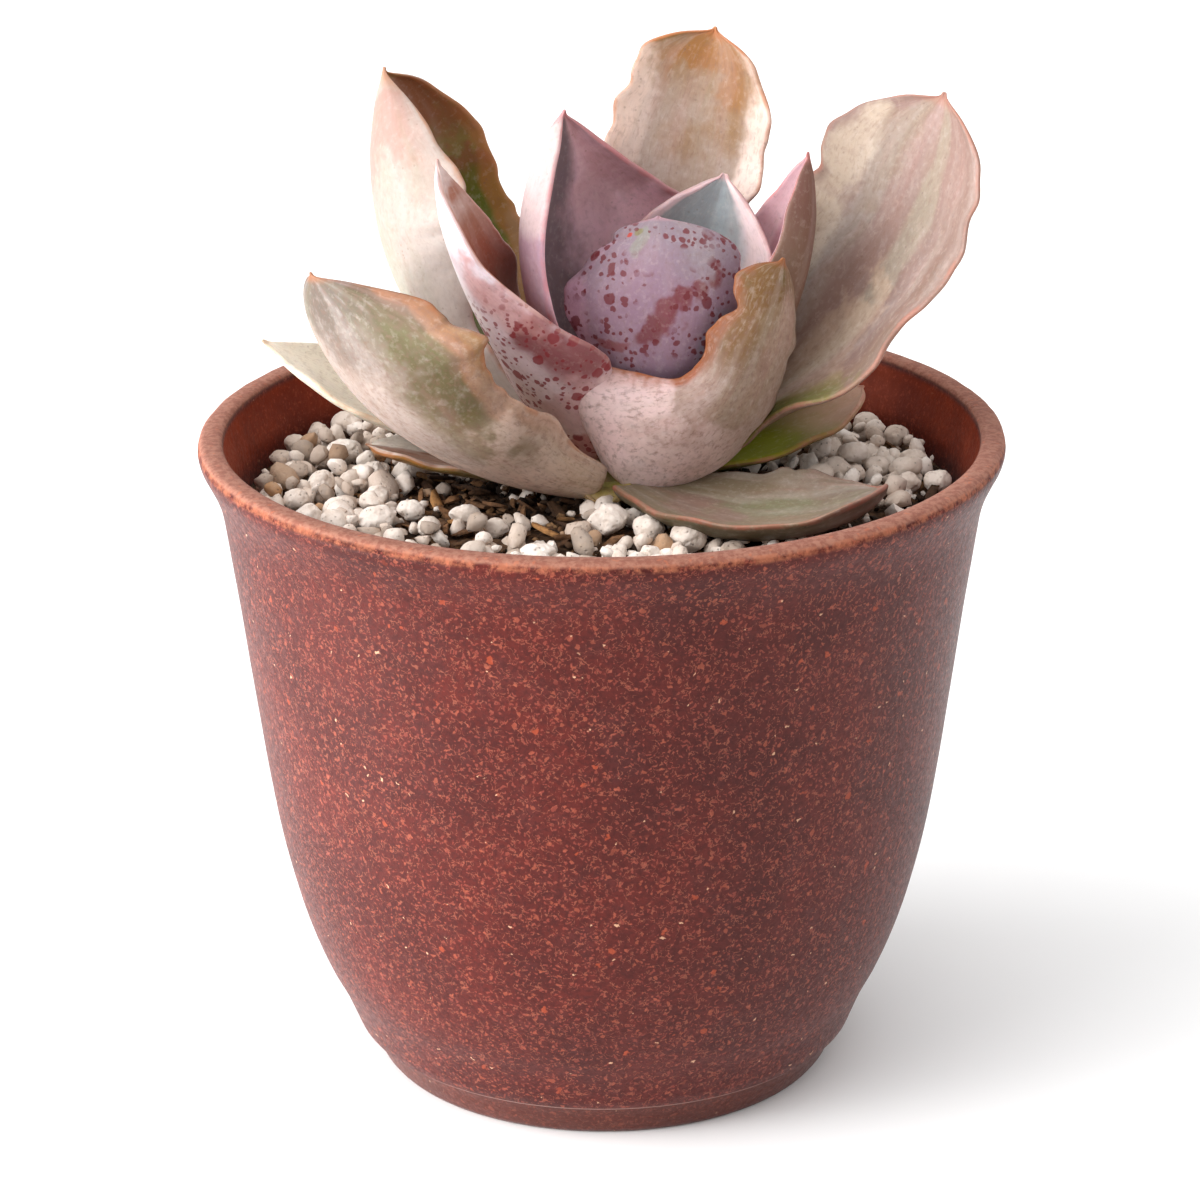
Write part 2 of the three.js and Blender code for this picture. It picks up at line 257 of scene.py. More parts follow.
# outlines are (radius, height) in mm, going round from the middle of the underside
pot = {
    "turns": 144,
    "foot": [(0, 2.6), (18, 2.6), (26.2, 2.6), (27.2, 2.2), (27.9, 1.4), (28.3, 0.4), (28.8, 0),
             (31.2, 0), (31.9, 0.25), (32.4, 0.9), (33.4, 3.0), (34.3, 4.8), (34.6, 5.15),
             (35.0, 5.2), (35.5, 5.6)],
    "body": [(35.5, 5.6), (37.6, 10.8), (39.5, 14.6), (41.2, 18.8), (42.6, 23), (43.8, 27.4),
             (45.1, 33), (46.1, 38.4), (47.1, 45), (48, 52), (49, 60), (49.9, 67.5), (50.8, 74),
             (51.5, 79), (52.0, 82), (52.8, 84.6), (53.9, 87), (54.7, 88.6), (55, 89.7)],
    "rim": [(55, 90.3), (54.85, 90.8), (54.5, 91.1), (54.0, 91.2), (53.0, 91.25), (52.2, 91.2),
            (51.8, 91.0), (51.55, 90.6)],
    "inside": [(51.5, 90), (50.9, 87.5), (50, 84), (48.9, 77), (47.4, 67), (45.2, 50), (42.4, 32),
               (38.8, 20), (34.2, 11.2), (27, 6.4), (14, 5.4), (0, 5.4)],
    "wornHeights": (89.3, 90.6), "wornRadii": (53.8, 54.6), "wear": 0.16, "sway": 0.12,
}
potBands = {  # where each band of the finish starts and ends, in metres
    "lipHeight": (0.0903, 0.0909), "lipRadius": (0.0512, 0.0517),
    "arrisRadius": (0.0545, 0.0548), "arrisFrom": (0.0896, 0.0902), "arrisTo": (0.0912, 0.0909),
    "insideHeight": (0.0906, 0.0896), "wallLean": 0.29, "insideWall": (0.0262, 0.0252),
    "foot": (0.0056, 0.0046), "footHighlightFrom": (0.0048, 0.0051), "footHighlightTo": (0.0057, 0.0054),
}


def throughPoints(points, between):  # a smooth line through the points
    line = []
    last = len(points) - 1
    for i in range(last):
        a, b, c, d = (Vector(points[min(max(k, 0), last)]) for k in (i - 1, i, i + 1, i + 2))
        for j in range(between):
            t = j / between
            line.append(0.5 * ((2 * b) + (c - a) * t + (2 * a - 5 * b + 4 * c - d) * t * t
                               + (3 * b - a - 3 * c + d) * t ** 3))
    line.append(Vector(points[last]))
    return line


def spunPiece(name, line, turns):  # turns an outline of radius and height about Z
    mesh = bpy.data.meshes.new(name)
    mesh.from_pydata([(p[0] * mm, 0, p[1] * mm) for p in line],
                     [(i, i + 1) for i in range(len(line) - 1)], [])
    piece = newObject(name, mesh)
    makeActive(piece)
    editAll()
    bpy.ops.mesh.spin(steps=turns, angle=math.tau, center=(0, 0, 0), axis=(0, 0, 1))
    bpy.ops.mesh.select_all(action="SELECT")
    bpy.ops.mesh.remove_doubles(threshold=1e-6)
    editDone(outward=True)
    bpy.ops.object.shade_smooth()
    return piece


def claySkin():
    recipe = Recipe("speckledBrickRed")
    place = recipe.place()
    x, y, z = recipe.split(place)
    radius = recipe.math("SQRT", recipe.math("ADD", recipe.times(x, x), recipe.times(y, y)))
    cloud = recipe.range(recipe.noise(place, 70, 4, 0.6), 0.35, 0.65)
    grain = recipe.noise(place, 1300, 3, 0.6)
    warped = recipe.warp(place, 900, 0.0018)
    colour = recipe.mix(cloud, tone("#441410"), tone("#541a14"))
    plum = recipe.range(recipe.noise(place, 170, 4, 0.65), 0.5, 0.66)
    colour = recipe.tint(colour, plum, 0.42, "#4c2220")
    colour = recipe.tint(colour, recipe.range(grain, 0.4, 0.62), 0.55, "#38100e")

    def band(value, name):
        return recipe.range(value, *potBands[name])

    def chips(scale, far, near, rare, often, channel):  # irregular bits, each cell kept or not
        away, pick = recipe.cells(warped, scale)
        return recipe.times(recipe.range(away, far, near), recipe.range(pick[channel], rare, often))

    # fibres, then three sizes of chip and a few pale husks
    curl = recipe.math("ABSOLUTE", recipe.math("SUBTRACT", recipe.noise(warped, 1000, 1, 0.5), 0.5))
    curl = recipe.times(recipe.range(curl, 0.03, 0.012),
                        recipe.range(recipe.noise(place, 1000, 2), 0.44, 0.54))
    fine = chips(1500, 0.4, 0.26, 0.36, 0.46, 0)
    medium = chips(820, 0.3, 0.2, 0.6, 0.66, 1)
    broad = chips(400, 0.22, 0.15, 0.88, 0.9, 2)
    husk = chips(900, 0.22, 0.14, 0.95, 0.96, 2)
    for mask, strength, code in ((curl, 0.38, "#a8604a"), (fine, 0.4, "#97483a"),
                                 (medium, 0.45, "#a2523c"), (broad, 0.6, "#a04428"),
                                 (husk, 0.75, "#d0a080")):
        colour = recipe.tint(colour, mask, strength, code)
    # dusty tan lip, with a brighter outer edge that is partly wear and partly a painted highlight
    lip = recipe.times(band(z, "lipHeight"), band(radius, "lipRadius"))
    lipTone = recipe.mix(recipe.range(grain, 0.38, 0.62), tone("#8a5748"), tone("#a06f5d"))
    lipTone = recipe.tint(lipTone, medium, 0.4, "#b86a4c")
    colour = recipe.mix(recipe.times(lip, 0.9), colour, lipTone)
    rubAndHighlight = recipe.range(recipe.noise(place, 520, 4, 0.7), 0.38, 0.62)
    arris = recipe.times(recipe.times(band(radius, "arrisRadius"), band(z, "arrisFrom")),
                         band(z, "arrisTo"))
    # the pale orange line on the outer edge is partly wear and partly a painted highlight where the
    # edge catches the light
    colour = recipe.tint(colour, recipe.times(arris, rubAndHighlight), 0.45, "#bf7656")
    # redder and darker on the inside wall
    wall = recipe.math("SUBTRACT", radius, recipe.times(z, potBands["wallLean"]))
    within = recipe.times(band(z, "insideHeight"), band(wall, "insideWall"))
    inner = recipe.mix(cloud, tone("#74260a"), tone("#8e3410"))
    colour = recipe.mix(within, colour, recipe.tint(inner, fine, 0.35, "#a5492f"))
    # a duller foot, with a fine pale line above it that is a painted highlight on the foot's top edge
    colour = recipe.tint(colour, band(z, "foot"), 0.5, "#552a1f")
    # painted highlight: a thin pale line where the foot's top edge catches the light
    footEdgeHighlight = recipe.times(band(z, "footHighlightFrom"), band(z, "footHighlightTo"))
    colour = recipe.tint(colour, footEdgeHighlight, 0.35, "#b98a78")
    worn = recipe.math("MAXIMUM", lip, arris)
    rough = recipe.range(worn, 0, 1, recipe.range(grain, 0.3, 0.7, 0.38, 0.52), 0.8)
    pores = recipe.bump(recipe.noise(place, 1500, 4, 0.7), 0.3, 0.0002)
    ripple = recipe.bump(recipe.noise(place, 260, 3), 0.18, 0.0006, pores)
    raw = recipe.bump(recipe.times(worn, recipe.noise(place, 900, 4, 0.8)), 0.4, 0.0004, ripple)
    return recipe.finish(Base_Color=colour, Roughness=rough, Normal=raw, Sheen_Roughness=0.4,
                         Specular_IOR_Level=recipe.range(within, 0, 1, 0.18, 0.1),
                         Sheen_Weight=recipe.range(within, 0, 1, 0.06, 0))


def makePot(size):
    line = ([Vector(p) for p in size["foot"][:-1]] + throughPoints(size["body"], 3)
            + [Vector(p) for p in size["rim"]] + throughPoints(size["inside"], 3))
    piece = spunPiece("flaredPot", line, size["turns"])
    for vertex in piece.data.vertices:  # a hand-worn lip and a body that is not quite true
        spot = vertex.co
        reach = math.hypot(spot.x, spot.y)
        if reach > mm:
            chip = (smoothStep(*size["wornHeights"], spot.z / mm)
                    * smoothStep(*size["wornRadii"], reach / mm))
            wear = noise.noise(spot * 420) * size["wear"] * mm * chip
            sway = noise.noise(spot * 35) * size["sway"] * mm
            push = 1 + (wear + sway - size["wear"] * mm * chip) / reach
            vertex.co = (spot.x * push, spot.y * push, spot.z - abs(wear) * 0.6)
    piece.data.materials.append(claySkin())
    settle(piece, ["pot"])


makePot(pot)
print("pot made")


# soil, stones, grit, crumbs and bark, in mm
soil = {
    "top": 81.2, "turns": 150,
    "wall": [(0, 5.9), (24, 6.2), (33.9, 11.5), (38.5, 20.3), (42.1, 32.3), (44.9, 50.3),
             (47.1, 67.3), (48.6, 77), (49.2, 80.4)],
    "rings": 46, "sag": 0.5, "lumps": 0.5, "crumbs": 0.35, "lumpReach": 48.7,
}
stoneSpots = [  # x, y, length, breadth, height, turn, shade; the greyer shades on the stones at the back and right are partly painted shade from the rim and leaves
    (-36, 14, 5.8, 4.6, 3.6, 5, 0.05), (-31.5, 5.5, 3.8, 3.4, 3.2, 40, 0.12),
    (-38.5, 1.5, 4.3, 3.8, 3.2, 70, 0.1), (-30.5, -4.2, 3.9, 3.3, 3, 100, 0.1),
    (-30, -14.5, 5.8, 4.2, 3.6, 20, 0.1), (-25.8, -10.3, 3.9, 3.3, 3, 0, 0.08),
    (-18.5, -12, 4.5, 2.9, 2.8, 10, 0.12), (-23.2, -17, 3.4, 3.2, 3, 60, 0.2),
    (-14, -17.3, 3.5, 3, 2.8, 15, 0.25), (-19.3, -23.6, 5.8, 4.2, 3.4, 350, 0.05),
    (-35.5, -9.6, 4.7, 3.8, 3.2, 30, 0.1), (-39.3, -12.5, 4.4, 3.8, 3.2, 320, 0.02),
    (-41.5, -5.6, 3.9, 3.4, 3, 0, 0.2), (-36.6, 27.6, 4.8, 4, 3.4, 20, 0.3),
    (-40.4, 23.4, 4, 3.4, 3, 130, 0.35), (-43.2, 18.2, 3.8, 3.2, 3, 10, 0.4),
    (-44.9, 12.4, 4.4, 2.8, 2.6, 340, 0.45), (0.8, -16.8, 6, 5, 4.4, 5, 0.15),
    (6.2, -19, 4.8, 4.2, 3.8, 120, 0.2), (11.3, -23.5, 5.2, 4.6, 4.4, 0, 0.2),
    (6.2, -28.5, 3.4, 3, 3, 80, 0.2), (17.2, -27.5, 4, 3.4, 3, 30, 0.62),
    (-1.6, -27.6, 4.2, 3.6, 3.4, 60, 0.1), (-8.6, -28.2, 5.4, 3.8, 3, 10, 0.08),
    (32.3, 4.2, 5.6, 4.6, 3.8, 15, 0.4), (38.2, 6.6, 3.9, 3.4, 3.2, 150, 0.35),
    (42, -0.6, 3.7, 3.4, 3.2, 60, 0.35), (46, 0.2, 4.1, 3.6, 3.4, 20, 0.25),
    (43.4, 9.5, 4.2, 3.4, 3.2, 160, 0.35), (41.8, 20.2, 4, 3.4, 3.2, 30, 0.4),
    (38, 26, 4.2, 3.4, 3.4, 140, 0.35), (-3, 42, 5, 4.2, 3.6, 20, 0.3),
    (14, 40.5, 4.6, 3.8, 3.4, 70, 0.2), (-20, 39, 5, 4, 3.4, 130, 0.3),
    (27, 35.5, 4.4, 3.6, 3.2, 10, 0.4), (-10, 30, 4.4, 3.6, 3.2, 60, 0.2),
]


def soilSkin():
    recipe = Recipe("dampSoil")
    place = recipe.place()
    lump = recipe.noise(place, 420, 5, 0.7)
    away, pick = recipe.cells(place, 700)
    colour = recipe.mix(recipe.range(lump, 0.35, 0.7), tone("#2a1d14"), tone("#6a4c34"))
    colour = recipe.tint(colour, recipe.range(pick[0], 0.75, 0.9), 0.6, "#6b5038")
    height = recipe.math("SUBTRACT", lump, away)
    return recipe.finish(Base_Color=colour, Roughness=0.92, Specular_IOR_Level=0.25,
                         Normal=recipe.bump(height, 0.8, 0.0008))


def makeSoil(size):
    edge = size["wall"][-1][0]
    shares = [1 - k / size["rings"] for k in range(size["rings"] + 1)]
    top = [(edge * share, size["top"] - size["sag"] * share ** 4) for share in shares]
    line = [Vector(p) for p in size["wall"] + top]
    piece = spunPiece("soilBed", line, size["turns"])
    for vertex in piece.data.vertices:
        spot = vertex.co
        atTop = spot.z > (size["top"] - 0.9) * mm
        if atTop and math.hypot(spot.x, spot.y) < size["lumpReach"] * mm:
            lump = noise.fractal(spot * 260, 1.0, 2.0, 4) * size["lumps"]
            vertex.co.z = spot.z + (lump + noise.noise(spot * 900) * size["crumbs"]) * mm
    piece.data.materials.append(soilSkin())
    settle(piece, ["soil"])


stoneTones = [(0.0, "#f9f0e8"), (0.25, "#e9dcd1"), (0.5, "#cdbbad"), (0.7, "#94867b"),
              (0.84, "#b58a63"), (0.95, "#8a5026"), (1.0, "#5c4433")]


def shadeOf(recipe):  # each stone's or crumb's own number, painted on its points
    return recipe.add("ShaderNodeAttribute", attribute_name="shade").outputs["Fac"]


def stoneSkin():
    recipe = Recipe("dryPaleStone")
    place = recipe.place()
    colour = recipe.ramp(shadeOf(recipe), stoneTones)
    dust = recipe.noise(place, 500, 4, 0.65)
    colour = recipe.tint(colour, recipe.range(dust, 0.4, 0.72), 0.45, "#bba48f")
    away, pick = recipe.cells(place, 1500)
    hole = recipe.times(recipe.range(away, 0.3, 0.1), recipe.range(pick[0], 0.5, 0.7))
    colour = recipe.tint(colour, hole, 0.45, "#6f6358")
    grain = recipe.bump(recipe.noise(place, 2200, 4, 0.7), 0.4, 0.0002)
    height = recipe.math("SUBTRACT", recipe.noise(place, 600, 3), recipe.times(hole, 0.5))
    return recipe.finish(Base_Color=colour, Roughness=0.88, Specular_IOR_Level=0.3,
                         Normal=recipe.bump(height, 0.6, 0.0005, grain))


def paintShade(piece, values):
    layer = piece.data.attributes.new("shade", "FLOAT", "POINT")
    layer.data.foreach_set("value", values)


stoneWork = {"flats": 9, "depths": (0.74, 0.95), "voxel": 0.17, "softening": 6, "lift": 0.25,
             "dent": 0.16, "fineDent": 0.07, "pit": 0.13}


def makeStones(spots, top, skin):
    generator = random.Random(3)
    for index, (x, y, length, breadth, height, turn, shade) in enumerate(spots):
        name = f"stone{index + 1:02d}"
        clearSelection()
        bpy.ops.mesh.primitive_ico_sphere_add(subdivisions=3, radius=0.5 * mm)
        piece = bpy.context.object
        piece.name = piece.data.name = name
        editAll()
        bpy.ops.transform.resize(value=(length, breadth, height))
        for _ in range(stoneWork["flats"]):  # flat sides, each cut at its own slant
            way = Vector((generator.uniform(-1, 1), generator.uniform(-1, 1),
                          generator.uniform(-0.8, 1))).normalized()
            reach = 0.5 * mm * math.sqrt((way.x * length) ** 2 + (way.y * breadth) ** 2
                                         + (way.z * height) ** 2)
            bpy.ops.mesh.select_all(action="SELECT")
            bpy.ops.mesh.bisect(plane_co=way * reach * generator.uniform(*stoneWork["depths"]),
                                plane_no=way, use_fill=True, clear_outer=True)
        bpy.ops.mesh.select_all(action="SELECT")
        bpy.ops.transform.rotate(value=math.radians(-turn), orient_axis="Z",
                                 center_override=(0, 0, 0))
        bpy.ops.transform.translate(
            value=(x * mm, y * mm, (top + height * 0.5 + stoneWork["lift"]) * mm))
        editDone()
        remesh = piece.modifiers.new("evenSkin", "REMESH")
        remesh.mode = "VOXEL"
        remesh.voxel_size = stoneWork["voxel"] * mm
        piece.modifiers.new("soften", "SMOOTH").iterations = stoneWork["softening"]
        applyModifiers(piece)
        seed = Vector((index * 3.7, index * 1.9, index * 5.3))
        for vertex in piece.data.vertices:  # dents and pits
            spot = vertex.co
            dent = (stoneWork["dent"] * noise.noise(spot * 700 + seed)
                    + stoneWork["fineDent"] * noise.noise(spot * 1700 + seed))
            pit = stoneWork["pit"] * smoothStep(0.15, 0.55, noise.noise(spot * 1300 - seed))
            vertex.co = spot + vertex.normal * (dent - pit) * mm
        piece.data.shade_smooth()
        # each stone's listed shade; on the back and right stones it is partly painted shade
        paintShade(piece, [shade] * len(piece.data.vertices))
        piece.data.materials.append(skin)
        settle(piece, [f"stone_{index + 1:02d}"])


bareGround = [  # where soil and bark show: strength, x and its spread, y and its spread
    (1, -13, 13, -7, 8.5), (0.9, -22, 8, 2, 8), (0.8, 46, 6, -7, 4),
]


def darkPatch(x, y):
    return sum(strength * bell(x, atX, spreadX) * bell(y, atY, spreadY)
               for strength, atX, spreadX, atY, spreadY in bareGround)


def scatterSpots(generator, layer, taken):
    wanted, reach, crowd = layer["wanted"], layer["reach"], layer["crowd"]
    smallest, largest = layer["sizes"]
    spots = []
    tries = 0
    while len(spots) < wanted and tries < wanted * 60:  # gives up once the ground is full
        tries += 1
        angle = generator.uniform(0, math.tau)
        away = reach * math.sqrt(generator.random())
        size = smallest + (largest - smallest) * generator.random() ** 1.6
        x, y = away * math.cos(angle), away * math.sin(angle)
        if away > reach - size * 0.5 or generator.random() > layer["chance"](x, y):
            continue
        if any((x - a) ** 2 + (y - b) ** 2 < (crowd * (size + c) * 0.5) ** 2 for a, b, c in taken):
            continue
        taken.append((x, y, size))
        spots.append((x, y, size))
    return spots


wornBlock = {"kinds": 10, "flats": 4, "flatDepths": (0.3, 0.42), "round": 0.72, "corner": 0.28,
             "lump": 0.3, "stretches": ((0.95, 1.35), (0.75, 1.05), (0.55, 0.85)), "crease": 60}


def wornShapes(source, generator):  # a few different worn blocks, copied many times
    shapes = []
    for k in range(wornBlock["kinds"]):
        seed = Vector((k * 7.1, k * 2.3, k * 4.9))
        shape = []
        for vertex in source.data.vertices:
            way = vertex.co.normalized()
            blocky = sum(abs(c) ** 4 for c in way) ** -0.25
            shape.append(vertex.co * (wornBlock["round"] + wornBlock["corner"] * blocky
                                      + wornBlock["lump"] * noise.noise(way * 1.3 + seed)))
        for _ in range(wornBlock["flats"]):  # flatten some sides
            way = Vector([generator.uniform(-1, 1) for _ in range(3)]).normalized()
            limit = generator.uniform(*wornBlock["flatDepths"])
            shape = [co - way * max(0.0, co.dot(way) - limit) * 0.95 for co in shape]
        shapes.append(shape)
    return shapes


def joinedBits(layer, spots, top, generator, skin):
    make, detail = layer["bit"]
    source = make(detail)
    shapes = wornShapes(source, generator)
    faces = [tuple(p.vertices) for p in source.data.polygons]
    tilt, (lift, share) = layer["tilt"], layer["lift"]
    points, polygons, shadeValues = [], [], []
    for x, y, size in spots:
        shape = generator.choice(shapes)
        spin = (Matrix.Rotation(generator.uniform(0, math.tau), 3, "Z")
                @ Matrix.Rotation(generator.uniform(-tilt, tilt), 3, "X")
                @ Matrix.Rotation(generator.uniform(-tilt, tilt), 3, "Y"))
        base = Vector((x, y, top + lift + size * share))
        stretch = [generator.uniform(*span) for span in wornBlock["stretches"]]
        shade = layer["shade"](generator)
        start = len(points)
        for co in shape:
            points.append((base + spin @ Vector([a * b * size for a, b in zip(co, stretch)])) * mm)
            shadeValues.append(shade)
        polygons.extend(tuple(start + i for i in face) for face in faces)
    bpy.data.objects.remove(source, do_unlink=True)
    mesh = bpy.data.meshes.new(layer["name"])
    mesh.from_pydata(points, [], polygons)
    piece = newObject(layer["name"], mesh)
    makeActive(piece)
    bpy.ops.object.shade_smooth_by_angle(angle=math.radians(wornBlock["crease"]))
    paintShade(piece, shadeValues)
    mesh.materials.append(skin)
    settle(piece)


def roundBit(detail):
    clearSelection()
    bpy.ops.mesh.primitive_ico_sphere_add(subdivisions=detail, radius=0.5)
    return bpy.context.object


def chipBit(detail):
    clearSelection()
    bpy.ops.mesh.primitive_cube_add(size=1)
    chip = bpy.context.object
    editAll()
    bpy.ops.transform.resize(value=(1.5, 0.5, 0.28))
    bpy.ops.mesh.subdivide(number_cuts=detail, smoothness=0.4)
    editDone()
    return chip


def crumbSkin(name, codes):
    recipe = Recipe(name)
    stops = [(k / (len(codes) - 1), code) for k, code in enumerate(codes)]
    colour = recipe.ramp(shadeOf(recipe), stops)
    fibre = recipe.noise(recipe.place(), 1200, 4, 0.7)
    colour = recipe.tint(colour, recipe.range(fibre, 0.4, 0.7), 0.6, "#15100c")
    return recipe.finish(Base_Color=colour, Roughness=0.85, Specular_IOR_Level=0.3,
                         Normal=recipe.bump(fibre, 0.7, 0.0004))


def openGround(x, y):  # few pebbles on the bare soil and none under the low front leaf
    underLeaf = abs(x - 23) <= 16 and abs(y + 14.5) <= 9.5
    return 0 if underLeaf else 1 - 0.97 * min(1, darkPatch(x, y) * 1.3)


def outerGround(x, y):
    return smoothStep(22, 32, math.hypot(x, y)) * openGround(x, y) ** 3


# most pebbles are pale; about a third take greyer tones, partly their own colour and partly painted
# shade for the shaded gaps in the gravel
def pebbleShade(generator):
    pale = [generator.uniform(0.0, 0.4)] * 18
    return generator.choice(pale + [generator.uniform(0.4, 0.66)] * 9
                            + [generator.uniform(0.76, 0.86)])


def gritShade(generator):
    return generator.choice([generator.uniform(0.0, 0.6)] * 8 + [generator.uniform(0.78, 1)] * 2)


dressing = [  # laid in this order; lift is a height above the soil and a share of the bit's size
    dict(name="pebbles", bit=(roundBit, 2), wanted=470, reach=48.6, sizes=(1.9, 4.4),
         chance=openGround, crowd=0.66, lift=(0, 0.4), tilt=1.2, slot="stone",
         shade=pebbleShade),
    dict(name="upperPebbles", bit=(roundBit, 2), wanted=240, reach=47.8, sizes=(1.8, 3.8),
         chance=outerGround, crowd=0.84, lift=(1.5, 0.4), tilt=1.2, slot="stone",
         shade=pebbleShade),
    dict(name="grit", bit=(roundBit, 1), wanted=560, reach=48.8, sizes=(0.8, 1.9),
         chance=lambda x, y: 1 - 0.8 * darkPatch(x, y), crowd=0.68, lift=(0, 0.5),
         tilt=1.2, slot="stone", shade=gritShade),
    dict(name="soilCrumbs", bit=(roundBit, 1), wanted=900, reach=48.6, sizes=(0.7, 2.1),
         chance=lambda x, y: 0.35 + darkPatch(x, y), crowd=0.5, lift=(0, 0.35),
         tilt=1.2, slot="soil", shade=lambda g: g.random() ** 1.5,
         skin=("darkCrumbs", ["#281b13", "#46301f", "#66482f", "#8c6a48"])),
    dict(name="barkChips", bit=(chipBit, 1), wanted=240, reach=46, sizes=(0.9, 2.4),
         chance=lambda x, y: 0.08 + darkPatch(x, y), crowd=0.5, lift=(0.5, 0.25),
         tilt=0.5, slot="soil", shade=lambda g: g.random(),
         skin=("barkBrown", ["#33231a", "#60422c", "#8c6443", "#46301f", "#b98652"])),
]


def makeDressing(top, stones, layers):
    skin = stoneSkin()
    makeStones(stones, top, skin)
    generator = random.Random(7)
    ground = [(s[0], s[1], (s[2] + s[3]) / 2) for s in stones]
    taken = {"pebbles": ground, "upperPebbles": [(s[0], s[1], s[2]) for s in stones],
             "grit": ground}
    for layer in layers:
        spots = scatterSpots(generator, layer, taken.get(layer["name"], []))
        ownSkin = crumbSkin(*layer["skin"]) if "skin" in layer else skin
        joinedBits(layer, spots, top, generator, ownSkin)


makeSoil(soil)
makeDressing(soil["top"], stoneSpots, dressing)
print("soil and dressing made")


# stem, in mm
stem = {"foot": (0.5, 0, 70), "head": (6, 0.5, 92), "radius": 4.2, "around": 40, "rings": 30}


def makeStem(size):
    clearSelection()
    bpy.ops.mesh.primitive_cylinder_add(vertices=size["around"], radius=1, depth=1)
    piece = bpy.context.object
    piece.name = piece.data.name = "shortStem"
    editAll()
    for k in range(1, size["rings"]):
        bpy.ops.mesh.select_all(action="SELECT")
        bpy.ops.mesh.bisect(plane_co=(0, 0, k / size["rings"] - 0.5), plane_no=(0, 0, 1))
    editDone()
    foot, head = Vector(size["foot"]), Vector(size["head"])
    for vertex in piece.data.vertices:
        t = vertex.co.z + 0.5
        radius = size["radius"] * (1 - 0.35 * t) + 1.1 * bell(t, 0.55, 0.22)
        radius *= 1 - 0.35 * bell(t, 0, 0.25)
        rough = noise.noise(Vector((vertex.co.x, vertex.co.y, t * 6)))
        ring = 1 + 0.05 * math.sin(t * 60) + 0.08 * rough
        x = foot.x + (head.x - foot.x) * t ** 1.6 + vertex.co.x * radius * ring
        y = foot.y + (head.y - foot.y) * t + vertex.co.y * radius * ring
        vertex.co = Vector((x, y, foot.z + (head.z - foot.z) * t)) * mm
    piece.data.shade_smooth()
    recipe = Recipe("youngStem")
    place = recipe.place()
    bark = recipe.noise(place, 500, 4, 0.6)
    colour = recipe.mix(recipe.range(bark, 0.35, 0.65), tone("#7d7236"), tone("#9a7a52"))
    piece.data.materials.append(recipe.finish(
        Base_Color=colour, Roughness=0.7, Normal=recipe.bump(bark, 0.5, 0.0005)))
    settle(piece, ["stem"])


makeStem(stem)
print("stem made")


# Leaf shape, in mm and degrees: the midrib runs through root, mid and tip; wide is the flat width,
# greatest at belly; waist is the base width as a share; blunt and point shape the end; cup is
# the curl of each half from base to tip, cupRight the right half's own; face is the compass
# direction of the back; roll turns the blade about its midrib; halves are the two halves'
# shares of the width; ragged is how wavy the margins are. Each swell is (which half, width
# gained, where along, spread); each bulge moves the margin outward in the same way.
# Finish: back and inside are tones from base to tip; edge is the margin's tone and rim where it
# starts; bloom is the pale powder; streaks are the rose and green ones; dusty is the strength
# of dashes and mottle; shine is the gloss; spots is their tone and spotReach how far up they
# go; patches are (inside?, across, along, half-widths, tone, strength). On several leaves a paler
# base is partly painted light, lifting the shade deep in the rosette and on down-facing faces,
# and a darker tip is partly painted shade on ends that catch strong light.
heartLeaf = dict(
    wide=12, belly=0.5, waist=0.6, blunt=1.8, point=0.8, cup=(70, 60),
    back=("#a08792", "#a98a98", "#b08c96"), inside=("#8a7480", "#9a8490", "#a98c96"),
    edge="#c58c8c", bloom=0.3)
rearLeaf = dict(
    wide=24, belly=0.6, waist=0.35, blunt=2.3, point=0.6, cup=(40, 35),
    back=("#8a8558", "#a5947c", "#b39688"), inside=("#7f7a4a", "#a08c74", "#b09080"),
    edge="#b98872", bloom=0.3)
